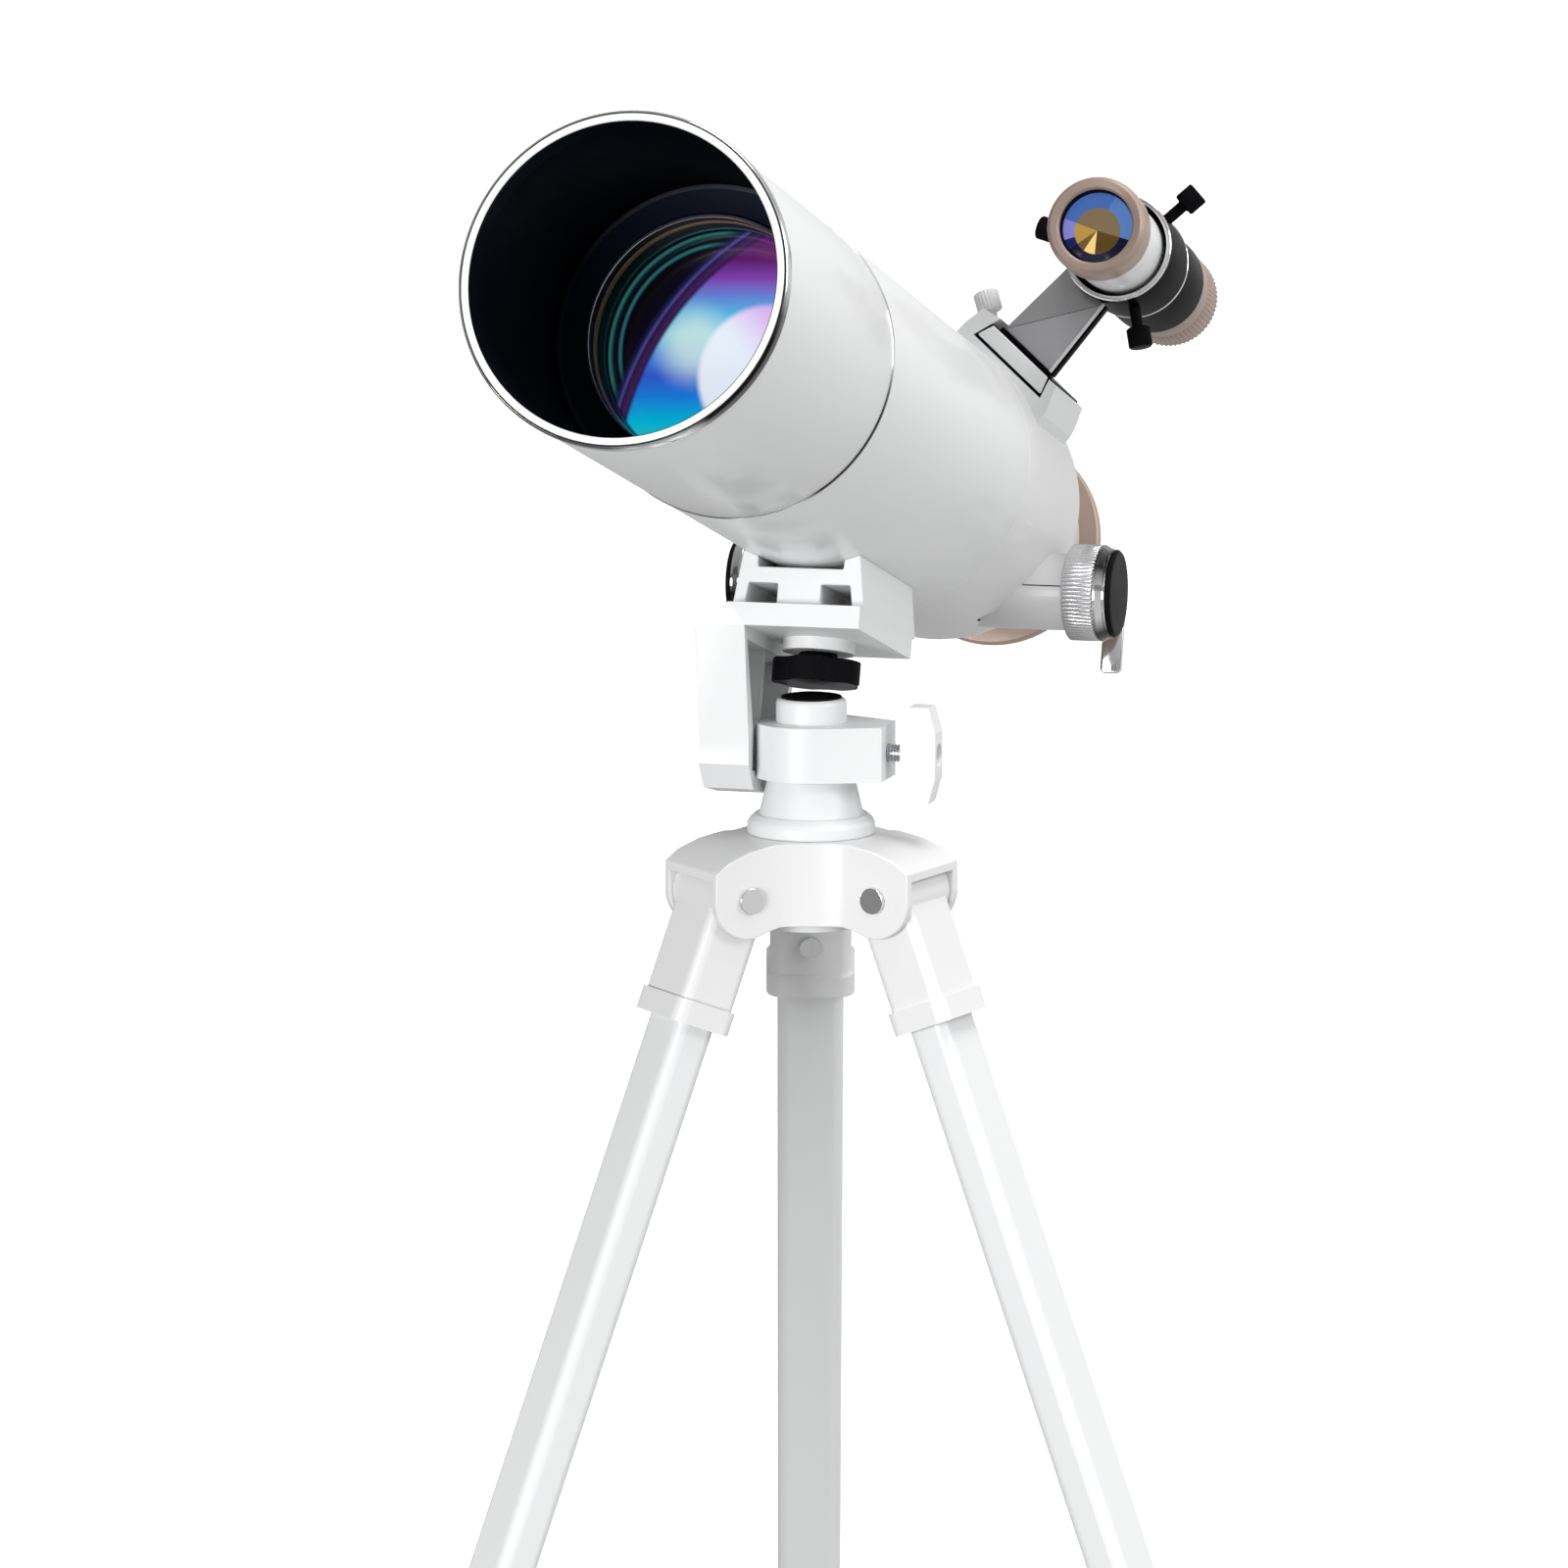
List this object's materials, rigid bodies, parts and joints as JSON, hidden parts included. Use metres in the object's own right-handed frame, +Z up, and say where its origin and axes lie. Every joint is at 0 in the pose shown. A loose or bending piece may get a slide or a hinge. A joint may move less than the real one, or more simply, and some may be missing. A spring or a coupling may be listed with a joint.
{
  "type": "telescope on tripod",
  "caption": "Small refracting telescope with finder scope, rack focuser and eyepiece, on a pan-and-tilt head over a folding tripod with sliding legs.",
  "frame": {"origin": "point on the floor under the pan axis, in the plane of the three feet", "axes": "+Z up along the pan axis, one leg towards +Y, the telescope's front towards -Y turned 16 degrees towards -X and raised"},
  "size_m": [0.3884, 0.5703, 0.7228],
  "materials": {
    "black_metal": "black anodised",
    "black_plastic": "gloss black moulding",
    "bright_steel": "bright plated",
    "finder_glass": "coated",
    "knurled_metal": "knurled",
    "leg_paint": "satin white enamel on aluminium",
    "objective_glass": "coated",
    "rose_gold": "satin rose gold",
    "rubber": "matt",
    "white_casting": "satin white enamel",
    "white_plastic": "gloss white moulding",
    "white_tube": "gloss white enamel"
  },
  "bodies": {
    "stand": {"tripod_crown": "white_casting", "centre_column": "white_casting", "column_cap": "black_plastic", "leg_pivot_pins": "bright_steel"},
    "leg_back": {"leg_socket_back": "white_plastic", "leg_tube_back": "leg_paint", "leg_screw_back": "bright_steel", "leg_clamp_back": "white_plastic"},
    "lower_leg_back": {"leg_slider_back": "leg_paint", "leg_foot_back": "rubber"},
    "lever_back": {"leg_lever_back": "black_plastic"},
    "leg_left": {"leg_socket_left": "white_plastic", "leg_tube_left": "leg_paint", "leg_screw_left": "bright_steel", "leg_clamp_left": "white_plastic"},
    "lower_leg_left": {"leg_slider_left": "leg_paint", "leg_foot_left": "rubber"},
    "lever_left": {"leg_lever_left": "black_plastic"},
    "leg_right": {"leg_socket_right": "white_plastic", "leg_tube_right": "leg_paint", "leg_screw_right": "bright_steel", "leg_clamp_right": "white_plastic"},
    "lower_leg_right": {"leg_slider_right": "leg_paint", "leg_foot_right": "rubber"},
    "lever_right": {"leg_lever_right": "black_plastic"},
    "pan_head": {"pan_collar": "white_casting", "tilt_pivot_bolt": "black_metal"},
    "pan_lock": {"wing_knob": "white_plastic", "wing_screw": "bright_steel"},
    "telescope": {"tilt_bracket": "white_casting", "saddle_block": "white_casting", "dew_shield": "white_tube", "front_ring": "white_tube", "joint_ring": "bright_steel", "main_tube": "white_tube", "lens_cell": "black_metal", "objective_lens": "objective_glass", "rear_housing": "white_plastic", "rear_trim_ring": "rose_gold", "housing_screws": "bright_steel", "finder_shoe": "white_plastic"},
    "mount_knob": {"clamp_knob": "black_plastic"},
    "focuser": {"drawtube": "black_metal", "focus_rack": "bright_steel"},
    "focus_spindle": {"focus_shaft": "bright_steel", "focus_knob_left": "knurled_metal", "focus_knob_right": "knurled_metal", "knob_caps": "black_plastic"},
    "eyepiece": {"eyepiece": "black_plastic", "eyepiece_lens": "objective_glass"},
    "eyepiece_lock": {"eyepiece_clamp_lever": "bright_steel"},
    "shoe_lock": {"shoe_screw": "white_plastic"},
    "finder": {"finder_bracket": "black_metal", "finder_tube": "white_tube", "finder_front_ring": "rose_gold", "finder_lens": "finder_glass"},
    "finder_focus": {"finder_focus_ring": "rose_gold"},
    "finder_screw_1": {"finder_screw_1": "black_plastic"},
    "finder_screw_2": {"finder_screw_2": "black_plastic"},
    "finder_screw_3": {"finder_screw_3": "black_plastic"}
  },
  "joints": [
    {"name": "pan", "type": "hinge", "parent": "stand", "child": "pan_head", "pos_m": [0, 0, 0.505], "axis": [0, 0, 1], "continuous": true},
    {"name": "tilt", "type": "hinge", "parent": "pan_head", "child": "telescope", "pos_m": [0, 0, 0.505], "axis": [-0.9613, 0.2756, 0], "range_deg": [-30, 45]},
    {"name": "pan_lock_turn", "type": "hinge", "parent": "pan_head", "child": "pan_lock", "pos_m": [0.02884, -0.00827, 0.505], "axis": [0.9613, -0.2756, 0], "range_deg": [0, 360]},
    {"name": "mount_knob_turn", "type": "hinge", "parent": "telescope", "child": "mount_knob", "pos_m": [0.00194, 0.00676, 0.53003], "axis": [-0.0746, -0.2601, -0.9627], "range_deg": [0, 360]},
    {"name": "drawtube_slide", "type": "slide", "parent": "telescope", "child": "focuser", "axis": [0.2654, 0.9254, -0.2706], "range_m": [-0.035, 0.04]},
    {"name": "focus_turn", "type": "hinge", "parent": "telescope", "child": "focus_spindle", "pos_m": [0.04101, 0.14302, 0.54098], "axis": [0.9613, -0.2756, 0], "range_deg": [-340, 300]},
    {"name": "eyepiece_slide", "type": "slide", "parent": "focuser", "child": "eyepiece", "axis": [0.2654, 0.9254, -0.2706], "range_m": [0, 0.03]},
    {"name": "eyepiece_lock_turn", "type": "hinge", "parent": "focuser", "child": "eyepiece_lock", "pos_m": [0.101, 0.28313, 0.52091], "axis": [0.7952, -0.3688, -0.4813], "range_deg": [0, 90]},
    {"name": "shoe_lock_turn", "type": "hinge", "parent": "telescope", "child": "shoe_lock", "pos_m": [0.06196, 0.13405, 0.64169], "axis": [-0.2457, 0.3363, 0.9091], "range_deg": [0, 360]},
    {"name": "finder_slide", "type": "slide", "parent": "telescope", "child": "finder", "axis": [0.2654, 0.9254, -0.2706], "range_m": [0, 0.03]},
    {"name": "finder_focus_turn", "type": "hinge", "parent": "finder", "child": "finder_focus", "pos_m": [0.12712, 0.18848, 0.64042], "axis": [0.2654, 0.9254, -0.2706], "range_deg": [-150, 150]},
    {"name": "finder_screw_1_turn", "type": "hinge", "parent": "finder", "child": "finder_screw_1", "pos_m": [0.12813, 0.1259, 0.67503], "axis": [0.7518, -0.0229, 0.659], "range_deg": [0, 360]},
    {"name": "finder_screw_2_turn", "type": "hinge", "parent": "finder", "child": "finder_screw_2", "pos_m": [0.11301, 0.11857, 0.63512], "axis": [0.1469, -0.3162, -0.9373], "range_deg": [0, 360]},
    {"name": "finder_screw_3_turn", "type": "hinge", "parent": "finder", "child": "finder_screw_3", "pos_m": [0.08687, 0.13495, 0.66551], "axis": [-0.8987, 0.3391, 0.2782], "range_deg": [0, 360]},
    {"name": "leg_fold_back", "type": "hinge", "parent": "stand", "child": "leg_back", "pos_m": [0, 0.033, 0.46], "axis": [1, 0, 0], "range_deg": [-21.1, 0]},
    {"name": "leg_extend_back", "type": "slide", "parent": "leg_back", "child": "lower_leg_back", "axis": [0, 0.36, -0.933], "range_m": [0, 0.28]},
    {"name": "lever_open_back", "type": "hinge", "parent": "leg_back", "child": "lever_back", "pos_m": [0, 0.18894, 0.09893], "axis": [1, 0, 0], "range_deg": [0, 100]},
    {"name": "leg_fold_left", "type": "hinge", "parent": "stand", "child": "leg_left", "pos_m": [-0.02858, -0.0165, 0.46], "axis": [-0.5, 0.866, 0], "range_deg": [-21.1, 0]},
    {"name": "leg_extend_left", "type": "slide", "parent": "leg_left", "child": "lower_leg_left", "axis": [-0.3118, -0.18, -0.933], "range_m": [0, 0.28]},
    {"name": "lever_open_left", "type": "hinge", "parent": "leg_left", "child": "lever_left", "pos_m": [-0.16363, -0.09447, 0.09893], "axis": [-0.5, 0.866, 0], "range_deg": [0, 100]},
    {"name": "leg_fold_right", "type": "hinge", "parent": "stand", "child": "leg_right", "pos_m": [0.02858, -0.0165, 0.46], "axis": [-0.5, -0.866, 0], "range_deg": [-21.1, 0]},
    {"name": "leg_extend_right", "type": "slide", "parent": "leg_right", "child": "lower_leg_right", "axis": [0.3118, -0.18, -0.933], "range_m": [0, 0.28]},
    {"name": "lever_open_right", "type": "hinge", "parent": "leg_right", "child": "lever_right", "pos_m": [0.16363, -0.09447, 0.09893], "axis": [-0.5, -0.866, 0], "range_deg": [0, 100]}
  ],
  "couplings": [
    {"joint": "focus_turn", "follows": "drawtube_slide", "rad_per_m": -142.86}
  ]
}
